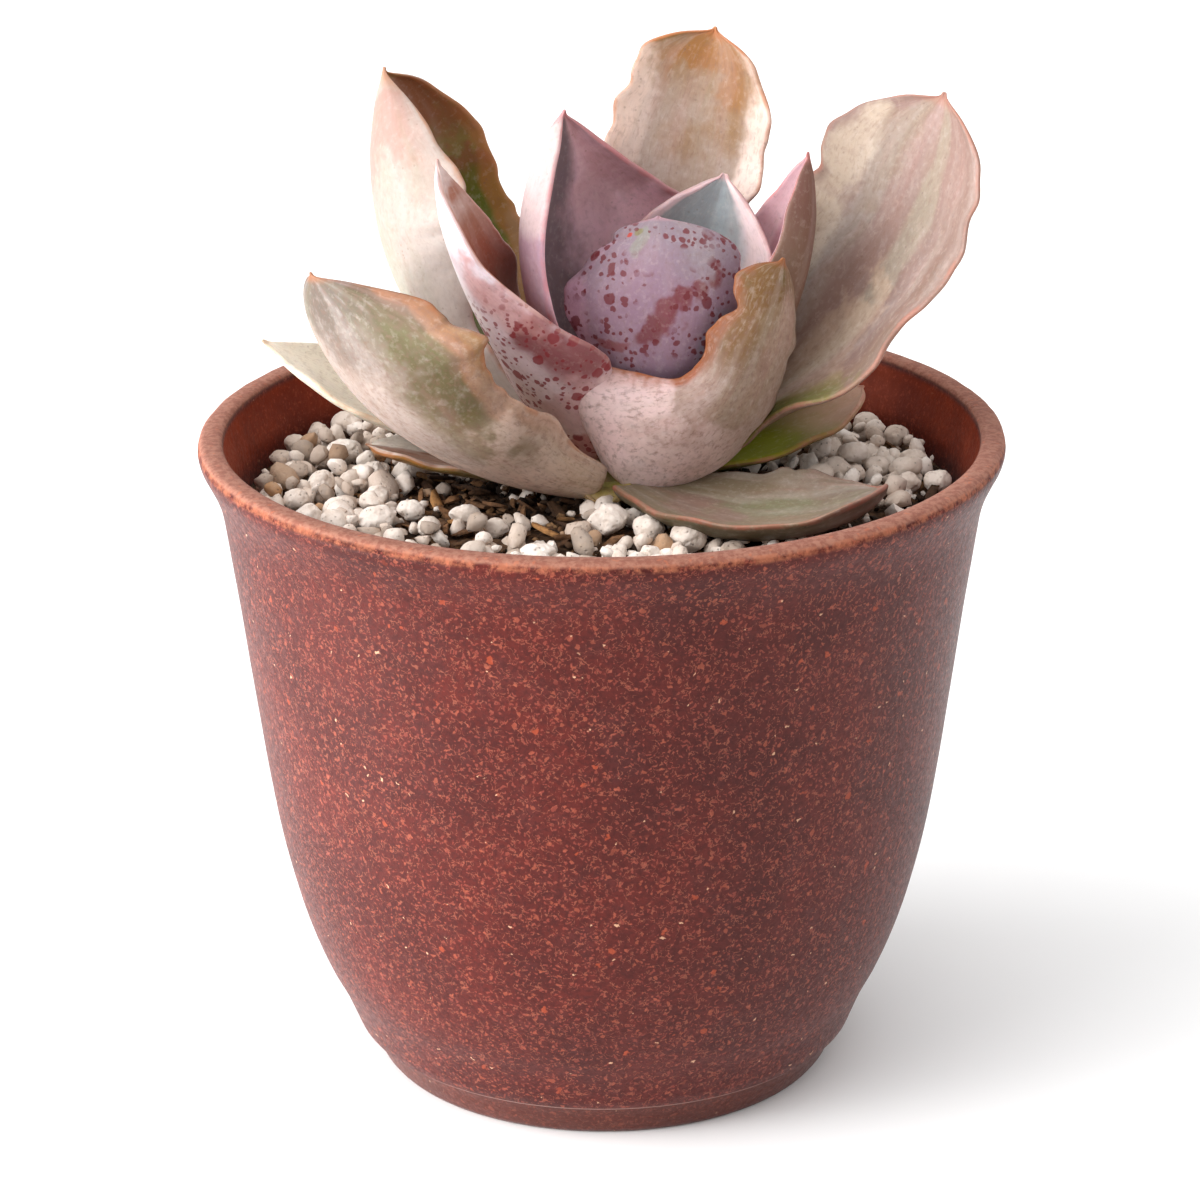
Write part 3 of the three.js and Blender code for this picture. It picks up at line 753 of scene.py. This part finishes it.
leaves = {
    "leaf_heart_right": dict(
        root=(7, 0.5, 92), mid=(10.5, 1.5, 100), tip=(9.5, 1, 107.5), face=(15, 15), **heartLeaf),
    "leaf_heart_left": dict(
        root=(5, 0.5, 92), mid=(2.5, 0.5, 99.5), tip=(4, 0, 106), face=(190, 190), **heartLeaf),
    "leaf_inner_back": dict(
        root=(7.5, 3.5, 90.5), mid=(12.5, 7, 107.5), tip=(16.7, 6.5, 125), wide=27, belly=0.5,
        waist=0.45, blunt=1.8, point=0.8, cup=(50, 45), face=(75, 75), bulge=[(-1, 1.2, 0.8, 0.2)],
        back=("#9b8a90", "#a9979a", "#b59c9c"), inside=("#b0b6b8", "#a2a8aa", "#85898c"),
        edge="#c99a98", bloom=0.15, streaks=(0.05, 0.05), dusty=0.5,
        patches=[(1, -0.8, 0.7, 0.34, 0.7, "#fbe0e0", 1), (1, 0.95, 0.8, 0.16, 0.5, "#e0bcc0", 0.8),
            (1, -0.35, 0.8, 0.4, 0.3, "#a9b4b8", 0.5)]),
    "leaf_inner_front": dict(
        root=(7, -3, 91.5), mid=(7.6, -9, 108.5), tip=(7.6, -4, 121.9), wide=25, belly=0.7,
        waist=0.5, blunt=5, point=0.5, cup=(50, 30), cupRight=(50, 45), face=(-95, -95),
        halves=(1, 0.95), swell=[(-1, 2.2, 0.52, 0.22), (-1, -2, 0.79, 0.1), (-1, -5, 0.93, 0.07)],
        back=("#8a6e80", "#907284", "#8a7a84"), inside=("#8a7480", "#9a8490", "#a98c96"),
        edge="#b98a92", bloom=0.1, streaks=(0.1, 0.05), dusty=0.7, spots="#6a2429", spotReach=1,
        patches=[(0, 0.62, 0.74, 0.1, 0.07, "#74323a", 0.9),
            (0, 0.46, 0.66, 0.1, 0.08, "#74323a", 0.9), (0, 0.28, 0.58, 0.11, 0.08, "#74323a", 0.9),
            (0, 0.1, 0.5, 0.13, 0.08, "#74323a", 0.9), (0, -0.06, 0.42, 0.14, 0.07, "#70343a", 0.9),
            # the paler patches at the right edge (#8a8a9c) and the left edge (#c09aac) are painted
            # light, lifting edges that sit in shade
            (0, 0.8, 0.4, 0.3, 0.2, "#8a8a9c", 0.7), (0, -0.45, 0.38, 0.2, 0.05, "#80363c", 0.8),
            (0, -0.3, 0.84, 0.12, 0.09, "#8b8a80", 0.7), (0, -0.62, 0.9, 0.06, 0.025, "#b0362c", 1),
            (0, -0.42, 0.89, 0.1, 0.04, "#7a7446", 0.8),
            (0, -0.9, 0.45, 0.25, 0.35, "#c09aac", 0.7)]),
    "leaf_folded_right": dict(
        root=(9.5, 0.5, 89.5), mid=(24.5, 2, 106), tip=(27.8, 2, 129), wide=24, belly=0.5,
        waist=0.4, blunt=1.8, point=0.75, cup=(80, 80), face=(5, 5), swell=[(1, 2, 0.6, 0.3)],
        # the brown back tones are partly painted shade: the outer face sits in shade and these follow
        # how dark it looks there
        back=("#5f5244", "#7a5f4f", "#755046"), inside=("#d8b0b8", "#e6c2ca", "#cfa6ae"),
        edge="#c7807f", bloom=0.1, streaks=(0.25, 0.05), dusty=0.6,
        patches=[(1, 0.5, 0.75, 0.12, 0.6, "#b5647a", 0.5)]),
    "leaf_upright_left": dict(
        root=(1.5, 1.5, 89.5), mid=(-8.2, 3, 113.5), tip=(-4.7, 3, 134.7), wide=34, belly=0.45,
        waist=0.35, blunt=2.2, point=0.7, cup=(70, 75), cupRight=(60, 60), face=(155, 155),
        halves=(1.3, 0.95), swell=[(-1, 7, 0.55, 0.28), (1, -4, 0.15, 0.2)],
        back=("#c4a8b4", "#b493a2", "#b49494"), inside=("#d0a4aa", "#d8b0bc", "#b88e90"),
        edge="#c8787c", rim=0.94, bloom=0.08, streaks=(0.15, 0.02), dusty=0.6,
        patches=[(1, 0.1, 0.55, 0.42, 1, "#5c4e52", 0.9),
            (1, -0.8, 0.5, 0.34, 0.45, "#f4c8d4", 0.85), (1, -0.7, 0.93, 0.3, 0.2, "#b4848a", 0.6),
            (0, 0.8, 0.8, 0.5, 0.2, "#e2d2cc", 0.5)]),
    "leaf_folded_left": dict(
        root=(-1, -2.5, 87.8), mid=(-15.2, -8.5, 109.2), tip=(-21.4, -9, 131.1), wide=38,
        belly=0.33, waist=0.45, blunt=1.3, point=0.9, cup=(60, 70), cupRight=(85, 58),
        face=(205, 180), roll=(28, -30), halves=(0.9, 0.85), swell=[(1, -2.5, 0.5, 0.2),
            (1, -1.5, 0.15, 0.15)],
        # the pale base tone of the back is partly painted light, lifting the shade low on the leaf
        back=("#e0c2c0", "#dcc8d0", "#e0d3d8"), inside=("#b87260", "#a25a45", "#9f6c59"),
        edge="#c79a90", bloom=0.15, streaks=(0.15, 0.02), dusty=0.6, spots="#8a3238", spotReach=0.5,
        patches=[(0, 0.85, 0.42, 0.42, 0.2, "#7c2e32", 0.9),
            (0, 0.45, 0.22, 0.35, 0.14, "#c08e90", 0.6), (0, 0, 0, 1.2, 0.08, "#b04a40", 0.6),
            (0, 0.15, 0.64, 0.3, 0.16, "#fdf6f7", 0.6), (0, 0.75, 0.6, 0.3, 0.14, "#c88f8c", 0.7),
            (1, 0.2, 1.02, 1.5, 0.16, "#e0cdc9", 0.9)]),
    "leaf_back": dict(
        root=(8.5, 8, 87), mid=(10, 17, 113.5), tip=(15.9, 20, 142.1), wide=24.5, belly=0.66,
        waist=0.4, blunt=3.6, point=0.5, cup=(50, 40), face=(75, 85), roll=(0, -8), ragged=1.7,
        swell=[(1, -2.2, 0.85, 0.12)],
        back=("#9a8478", "#b39788", "#b98f78"), inside=("#a08276", "#aa9a91", "#8d683e"),
        edge="#b4683a", rim=0.95, bloom=0.15, streaks=(0.15, 0.2),
        patches=[(1, 0.85, 0.6, 0.3, 0.3, "#d0b8ac", 0.7),
            (1, -0.9, 0.7, 0.25, 0.4, "#f0d8cc", 0.8), (1, 0.9, 0.8, 0.2, 0.2, "#dcc0b0", 0.7),
            (1, 0, 0.95, 1, 0.1, "#96622f", 0.7)]),
    "leaf_front_right": dict(
        root=(4.5, -4.5, 84.5), mid=(15.5, -12.5, 97.7), tip=(24.2, -8.5, 117.3), wide=27,
        belly=0.3, waist=0.45, blunt=1.8, point=0.55, cup=(72, 45), cupRight=(65, 55),
        face=(-50, -45), roll=(-32, -20), halves=(1.25, 1), ragged=1.5, swell=[(-1, 8, 0.16, 0.13),
            (-1, -9, 0.58, 0.18), (-1, -3.2, 0.82, 0.1)],
        back=("#e4cbca", "#a58c82", "#66522f"), inside=("#8f786c", "#9c8474", "#a07c58"),
        edge="#93502a", rim=0.9, bloom=0.15, streaks=(0.2, 0.12), dusty=1.6,
        patches=[(0, -0.95, 0.55, 0.24, 0.3, "#8f4a22", 0.95),
            (0, -0.9, 0.8, 0.4, 0.2, "#84481f", 0.9), (0, -0.25, 0.88, 0.55, 0.2, "#745027", 0.8),
            (0, -0.7, 0.2, 0.5, 0.25, "#e4c6c6", 0.65), (0, 0.6, 0.6, 0.35, 0.4, "#a08c7c", 0.5),
            (0, 0.1, 0.62, 0.4, 0.2, "#8d7c60", 0.5), (0, -0.15, 0.32, 0.5, 0.16, "#d4b8b2", 0.35)]),
    "leaf_tall_left": dict(
        root=(-2.5, 3, 85.8), mid=(-26.2, 15, 106.4), tip=(-29.4, 18, 137.2), wide=42, belly=0.62,
        waist=0.25, blunt=4.2, point=0.55, cup=(80, 70), face=(184, 188), roll=(-5, -12),
        ragged=1.9, swell=[(1, 4, 0.72, 0.22), (-1, 5.5, 0.58, 0.28)],
        back=("#d8ccc8", "#b3a7a0", "#a8968c"), inside=("#4a5010", "#5c6018", "#8a6a3c"),
        edge="#b87850", rim=0.94, bloom=0.15, streaks=(0.15, 0.2), dusty=0.5, shine=0.2,
        patches=[(0, 0.2, 0.55, 0.35, 0.35, "#8f9480", 0.5),
            (0, 0.3, 0.93, 0.6, 0.12, "#a87c72", 0.6), (0, -0.3, 0.4, 0.4, 0.2, "#bfa59e", 0.5),
            (1, -0.3, 0.92, 0.9, 0.12, "#8a4a30", 0.75), (1, -0.8, 0.68, 0.2, 0.1, "#84402e", 0.6),
            (1, -0.5, 0.35, 1, 0.35, "#565e0c", 0.8), (1, -0.97, 0.5, 0.1, 0.5, "#b4683c", 0.5)]),
    "leaf_tall_right": dict(
        root=(7, 0.5, 85.5), mid=(32.3, 4, 105.3), tip=(46.2, 6, 136.1), wide=35.5, belly=0.66,
        waist=0.3, blunt=3.2, point=0.5, cup=(45, 35), face=(15, 15), roll=(20, 20),
        halves=(1.08, 0.95), ragged=2.3, swell=[(-1, -5, 0.2, 0.16), (1, -3, 0.73, 0.1)],
        bulge=[(-1, 0.8, 0.75, 0.2)],
        back=("#6a5644", "#85695a", "#8a6a5a"), inside=("#4d4a20", "#77615a", "#93786f"),
        edge="#ab7260", rim=0.95, bloom=0.18, streaks=(0.15, 0.12),
        patches=[(1, 0.4, 0.75, 0.18, 0.6, "#a1978c", 0.5),
            (1, 0.75, 0.6, 0.3, 0.3, "#c8b6a2", 0.7), (1, 0.35, 0.88, 0.3, 0.12, "#86705a", 0.55),
            (1, -0.25, 0.7, 0.14, 0.6, "#a09885", 0.5), (1, -0.8, 0.6, 0.3, 0.45, "#876e62", 0.45),
            (1, -0.8, 0.22, 0.45, 0.25, "#6a6e28", 0.9), (1, 0.1, 0.42, 0.3, 0.4, "#957469", 0.55),
            (1, -0.9, 0.5, 0.3, 0.2, "#7a6456", 0.5), (1, -0.3, 0.42, 0.4, 0.2, "#b89e88", 0.6)]),
    "leaf_front_left": dict(
        root=(-1.3, -5, 84), mid=(-26, -15, 96.4), tip=(-37.8, -17, 118.1), wide=42, belly=0.45,
        waist=0.28, blunt=4.2, point=0.6, cup=(75, 45), face=(200, 200), roll=(15, 12), ragged=1.6,
        swell=[(1, 3.5, 0.75, 0.2), (1, -2.5, 0.42, 0.15), (1, -3, 0.18, 0.12)],
        back=("#c6ad98", "#a8958a", "#665a50"), inside=("#8a7a5c", "#9a8570", "#a98c78"),
        edge="#ab683f", rim=0.93, bloom=0.2, streaks=(0.25, 0.3), dusty=1.5,
        patches=[(0, 0.75, 0.62, 0.4, 0.22, "#544c22", 0.85),
            (0, 0.55, 0.4, 0.3, 0.2, "#6a6034", 0.6), (0, 0.8, 0.9, 0.4, 0.14, "#55452f", 0.85),
            (0, 0, 0.42, 0.45, 0.25, "#b3a199", 0.4), (0, -0.35, 0.6, 0.35, 0.3, "#a8988f", 0.6),
            (0, 0.92, 0.5, 0.12, 0.5, "#a8704c", 0.6), (0, 0.1, 0.22, 0.8, 0.16, "#d4bcae", 0.75)]),
    "leaf_rear_right": dict(
        root=(7, 5, 86), mid=(19, 19, 91.5), tip=(29, 32, 103), face=(50, 50), **rearLeaf),
    "leaf_rear_left": dict(
        root=(2, 5.5, 86), mid=(-2, 21, 92.5), tip=(-6, 34, 105.5), face=(105, 105), **rearLeaf),
    "leaf_low_right_back": dict(
        root=(7.5, 2.5, 84), mid=(22.8, 8.5, 86.8), tip=(36.6, 13, 92.8), wide=25, belly=0.6,
        waist=0.35, blunt=2.4, point=0.6, cup=(25, 20), face=(22, 22),
        back=("#4c4a12", "#6a6428", "#a58467"), inside=("#767408", "#74720c", "#c09a84"),
        edge="#a86a5c", bloom=0, streaks=(0.05, 0), dusty=0.2, shine=0.08,
        patches=[(1, -0.5, 0.35, 0.9, 0.4, "#80840c", 0.95)]),
    "leaf_low_left_back": dict(
        root=(-3.5, 3.5, 84.6), mid=(-28, 10, 90), tip=(-46.8, 10, 100.8), wide=18.5, belly=0.6,
        waist=0.35, blunt=1.4, point=0.9, cup=(45, 35), face=(176, 176), roll=(-12, -12),
        back=("#bdb49c", "#cfc6b4", "#e6dccb"), edge="#c9a684", bloom=0.2, streaks=(0.05, 0.1)),
    "leaf_low_right_front": dict(
        root=(5, -5.5, 84.2), mid=(22.5, -15.5, 82.9), tip=(37.4, -13.5, 87), wide=24, belly=0.52,
        waist=0.4, blunt=3.2, point=0.55, cup=(38, 36), cupRight=(35, 30), face=(-14, -4),
        roll=(4, 0), halves=(1.4, 1),
        back=("#50482f", "#5f5640", "#6c5c50"), inside=("#786a54", "#85745f", "#7a6a5c"),
        edge="#a25a48", rim=0.94, bloom=0.2, streaks=(0.2, 0.25),
        patches=[(1, 0.1, 0.55, 0.3, 0.3, "#76785a", 0.6),
            (1, -0.2, 0.25, 0.5, 0.15, "#8a6c64", 0.6)]),
    "leaf_low_left_front": dict(
        root=(-3.5, 0.5, 83.5), mid=(-18, 2, 85), tip=(-32.5, 4, 87.6), wide=15, belly=0.6,
        waist=0.4, blunt=2, point=0.7, cup=(30, 25), face=(176, 176),
        back=("#6a6020", "#7d6a2c", "#8a5a24"), inside=("#a8988c", "#b8b0a8", "#cfc6bd"),
        edge="#9a5a22", bloom=0.2,
        patches=[(1, 0.55, 0.75, 0.5, 0.5, "#6a3a12", 0.95)]),
    "leaf_stub": dict(
        root=(0.5, -4.2, 84), mid=(0, -7, 84), tip=(-0.7, -9, 83.4), wide=8.5, belly=0.4,
        waist=0.85, blunt=2.6, point=0.5, cup=(40, 35), face=(-95, -95),
        back=("#8a7f38", "#9a8a4a", "#a38a5c"), edge="#a88a5c", bloom=0.1),
}
blade = {"across": 20, "along": 46, "midThickness": 3.2, "edgeThickness": 0.72, "spine": 0.985}


def mixed(pair, t):
    return pair[0] + (pair[1] - pair[0]) * t


def halfWidth(leaf, t):  # half the flat width, ending in a fine point
    reach = t / blade["spine"]
    rise = leaf["waist"] + (1 - leaf["waist"]) * math.sin(math.pi / 2 * min(reach / leaf["belly"], 1))
    past = max(0.0, (reach - leaf["belly"]) / (1 - leaf["belly"]))
    fall = max(0.0, 1 - past ** leaf["blunt"]) ** leaf["point"] if past < 1 else 0.0
    width = leaf["wide"] / 2 * (rise if reach < leaf["belly"] else fall)
    return max(width, 0.4 * math.sqrt(max(0.0, 1 - t) * 60) + 0.08 if t > 0.95 else 0.3)


def midrib(leaf, t):
    root, tip = Vector(leaf["root"]), Vector(leaf["tip"])
    handle = Vector(leaf["mid"]) * 2 - (root + tip) * 0.5
    at = root * (1 - t) ** 2 + handle * 2 * t * (1 - t) + tip * t * t
    along = ((handle - root) * (1 - t) + (tip - handle) * t).normalized()
    heading = math.radians(mixed(leaf["face"], t))
    across = Vector((-math.sin(heading), math.cos(heading), 0))
    across = (across - along * across.dot(along)).normalized()
    across = Matrix.Rotation(math.radians(mixed(leaf.get("roll", (0, 0)), t)), 3, along) @ across
    return at, across, along.cross(across)


def bladePoint(leaf, t, s, seed):
    at, across, inward = midrib(leaf, t)
    half = 0 if s < 0 else 1
    pair = leaf.get("cupRight", leaf["cup"]) if half else leaf["cup"]
    curl = math.radians(mixed(pair, t))
    reach = halfWidth(leaf, t) * leaf.get("halves", (1, 1))[half]
    nick = (noise.noise(Vector((t * 8, half * 4 + seed, 0)))
            + 0.55 * noise.noise(Vector((t * 21, seed, half))))
    margin = s * s * smoothStep(0, 0.2, t) * smoothStep(1, 0.9, t)
    ragged = leaf.get("ragged", 0.5) * 1.5
    reach += ragged * nick * margin

    def moved(kind):
        return sum(amount * bell(t, spot, spread)
                   for side, amount, spot, spread in leaf.get(kind, ()) if side * s > 0)

    reach = max(0.08, reach + moved("swell") * min(1.0, (1 - t) * 10))
    bend = reach / curl
    out, up = bend * math.sin(curl * s), bend * (1 - math.cos(curl * s))
    out += math.copysign(s * s, s) * moved("bulge")
    flutter = noise.noise(Vector((t * 7, seed * 3.1, half * 5.0)))
    up += ragged * flutter * margin * abs(s)
    up += 0.25 * noise.noise(Vector((t * 3, s * 2.4, seed))) * smoothStep(0, 0.2, t)
    return (at + across * out + inward * up) * mm, inward


def leafSkin(name, leaf, seed):
    recipe = Recipe(name)
    place = recipe.place()
    across, along, side = recipe.split(
        recipe.add("ShaderNodeAttribute", attribute_name="bladePlace").outputs["Vector"])
    inner = recipe.range(side, 0.35, 0.65)
    outside = recipe.math("SUBTRACT", 1.0, inner)
    cloud = recipe.noise(place, 95, 4, 0.6)
    shifted = recipe.math("ADD", along, recipe.range(cloud, 0.3, 0.7, -0.1, 0.1))
    bent = recipe.math("ADD", across,
                       recipe.range(recipe.noise(place, 55, 2), 0.3, 0.7, -0.045, 0.045))
    wavy = recipe.range(cloud, 0.3, 0.7, -0.35, 0.35)

    # tones from base to tip; on several leaves a paler base is partly painted light and a darker tip
    # partly painted shade
    def gradient(codes):
        low = recipe.mix(recipe.range(shifted, 0.08, 0.5), tone(codes[0]), tone(codes[1]))
        return recipe.mix(recipe.range(shifted, 0.55, 0.97), low, tone(codes[2]))

    def lines(count, length, detail, shift):  # streaks that run along the blade
        way = recipe.join(recipe.times(bent, count), recipe.times(along, length),
                          recipe.math("ADD", side, seed * 1.7 + shift))
        return recipe.noise(way, 1, detail, 0.6)

    def squared(value, middle, half):  # how far value is from the middle, in halves
        away = recipe.math("DIVIDE", recipe.math("SUBTRACT", value, middle), half)
        return recipe.times(away, away)

    colour = recipe.mix(inner, gradient(leaf["back"]),
                        gradient(leaf.get("inside", leaf["back"])))
    for inside, s, t, halfS, halfT, code, strength in leaf.get("patches", ()):
        away = recipe.math("ADD", squared(bent, s, halfS), squared(shifted, t, halfT))
        mask = recipe.range(recipe.math("ADD", away, wavy), 1.3, 0.3)
        colour = recipe.tint(colour, recipe.times(mask, inner if inside else outside),
                             strength, code)
    # broad soft streaks of pale powder, rose and green
    rosy, leafy = leaf.get("streaks", (0.2, 0.15))
    for count, length, detail, shift, low, high, strength, code in (
            (3, 1.6, 2, 0, 0.45, 0.7, leaf["bloom"], "#d8cdc8"),
            (3.4, 1.8, 3, 11, 0.5, 0.72, rosy, "#b98480"),
            (3.8, 1.8, 3, 23, 0.52, 0.74, leafy, "#7c8058")):
        streak = recipe.range(lines(count, length, detail, shift), low, high)
        colour = recipe.tint(colour, streak, strength, code)
    # dashes, fine pale lines, dark mottle and powder grain
    dusty = leaf.get("dusty", 1.0)
    fine = lines(16, 34, 3, 5)
    dash = recipe.noise(recipe.join(recipe.times(bent, 30), recipe.times(along, 34), side),
                        1, 3, 0.65)
    mottle = recipe.noise(place, 1100, 3, 0.6)
    for value, low, high, strength, code in (
            (dash, 0.5, 0.72, 0.34 * dusty, "#7d6052"), (fine, 0.5, 0.75, 0.09 * dusty, "#e6dcd6"),
            (mottle, 0.5, 0.66, 0.18 * dusty, "#7a5b50"), (mottle, 0.46, 0.34, 0.07, "#ead9d0")):
        colour = recipe.tint(colour, recipe.range(value, low, high), strength, code)
    if "spots" in leaf:
        ragged = recipe.warp(place, 800, 0.0009)
        top = leaf["spotReach"]
        region = recipe.times(recipe.range(recipe.noise(place, 90, 2), 0.38, 0.46),
                              recipe.range(along, top + 0.15, top))
        region = recipe.times(region, outside)
        for size, far, near, rare in ((400, 0.38, 0.3, 0.62), (760, 0.4, 0.3, 0.5),
                                      (1300, 0.42, 0.3, 0.66)):
            away, pick = recipe.cells(ragged, size)
            dot = recipe.times(recipe.range(away, far, near),
                               recipe.range(pick[0], rare, rare + 0.02))
            colour = recipe.tint(colour, recipe.times(dot, region), 0.85, leaf["spots"])
    away, pick = recipe.cells(place, 900)
    pit = recipe.times(recipe.range(away, 0.2, 0.1), recipe.range(pick[1], 0.8, 0.82))
    colour = recipe.tint(colour, pit, 0.3, "#6d5348")
    # coloured margin and point
    outer = recipe.math("ADD", recipe.math("ABSOLUTE", across),
                        recipe.range(cloud, 0.3, 0.7, -0.03, 0.03))
    broken = recipe.range(recipe.noise(place, 260, 3), 0.4, 0.6, 0.35, 1.0)
    rimmed = recipe.range(outer, leaf.get("rim", 0.965), 1.0, 0, broken)
    point = recipe.range(along, 0.965, 0.99)
    colour = recipe.tint(colour, recipe.math("MAXIMUM", rimmed, point), 0.6, leaf["edge"])
    ridges = recipe.bump(fine, 0.12, 0.0003)
    dents = recipe.bump(recipe.noise(place, 330, 3, 0.6), 0.1, 0.0006, ridges)
    skinGrain = recipe.bump(recipe.noise(place, 1900, 3, 0.6), 0.1, 0.00015, dents)
    recipe.shader.inputs["Subsurface Radius"].default_value = (0.004, 0.0022, 0.0014)
    return recipe.finish(Base_Color=colour, Roughness=0.58, Normal=skinGrain,
                         Subsurface_Weight=0.25, Specular_IOR_Level=leaf.get("shine", 0.3))


def makeLeaf(node, leaf, seed):
    name = "".join(word.capitalize() if k else word for k, word in enumerate(node.split("_")))
    clearSelection()
    bpy.ops.mesh.primitive_grid_add(x_subdivisions=blade["across"], y_subdivisions=blade["along"],
                                    size=2)
    piece = bpy.context.object
    piece.name = piece.data.name = name
    mesh = piece.data
    places, middle, inwards = [], [], []
    body = piece.vertex_groups.new(name="body")
    heft = min(1.0, leaf["wide"] / 18)
    thickest = blade["midThickness"] * heft
    for vertex in mesh.vertices:
        s, even = vertex.co.x, (vertex.co.y + 1) / 2
        t = 1 - (1 - even) ** 1.5
        spot, inward = bladePoint(leaf, t, s, seed)
        vertex.co = spot
        places.append((s, t))
        middle.append(spot)
        inwards.append(inward)
        thick = (thickest * (1 - 0.45 * t) - blade["edgeThickness"]) * (1 - s * s)
        thick = blade["edgeThickness"] + thick * min(1, (1 - t) * 6)
        thick *= 0.3 + 0.7 * smoothStep(1, 0.93, t)
        body.add([vertex.index], thick / blade["midThickness"], "REPLACE")
    shell = piece.modifiers.new("shell", "SOLIDIFY")
    shell.thickness = blade["midThickness"] * mm
    shell.offset = 0
    shell.vertex_group = "body"
    shell.use_even_offset = False
    applyModifiers(piece)
    layer = mesh.attributes.new("bladePlace", "FLOAT_VECTOR", "POINT")
    half = len(places)
    for vertex in mesh.vertices:
        k = vertex.index % half
        inside = 1.0 if (vertex.co - middle[k]).dot(inwards[k]) > 0 else 0.0
        layer.data[vertex.index].vector = (*places[k], inside)
    smooth = piece.modifiers.new("round", "SUBSURF")
    smooth.levels = smooth.render_levels = 1
    applyModifiers(piece)
    editAll()
    editDone(outward=True)
    mesh.shade_smooth()
    mesh.materials.append(leafSkin(name + "Skin", leaf, seed))
    settle(piece, [node])


for number, (node, leaf) in enumerate(leaves.items()):
    makeLeaf(node, leaf, number * 1.37)
print("leaves made")
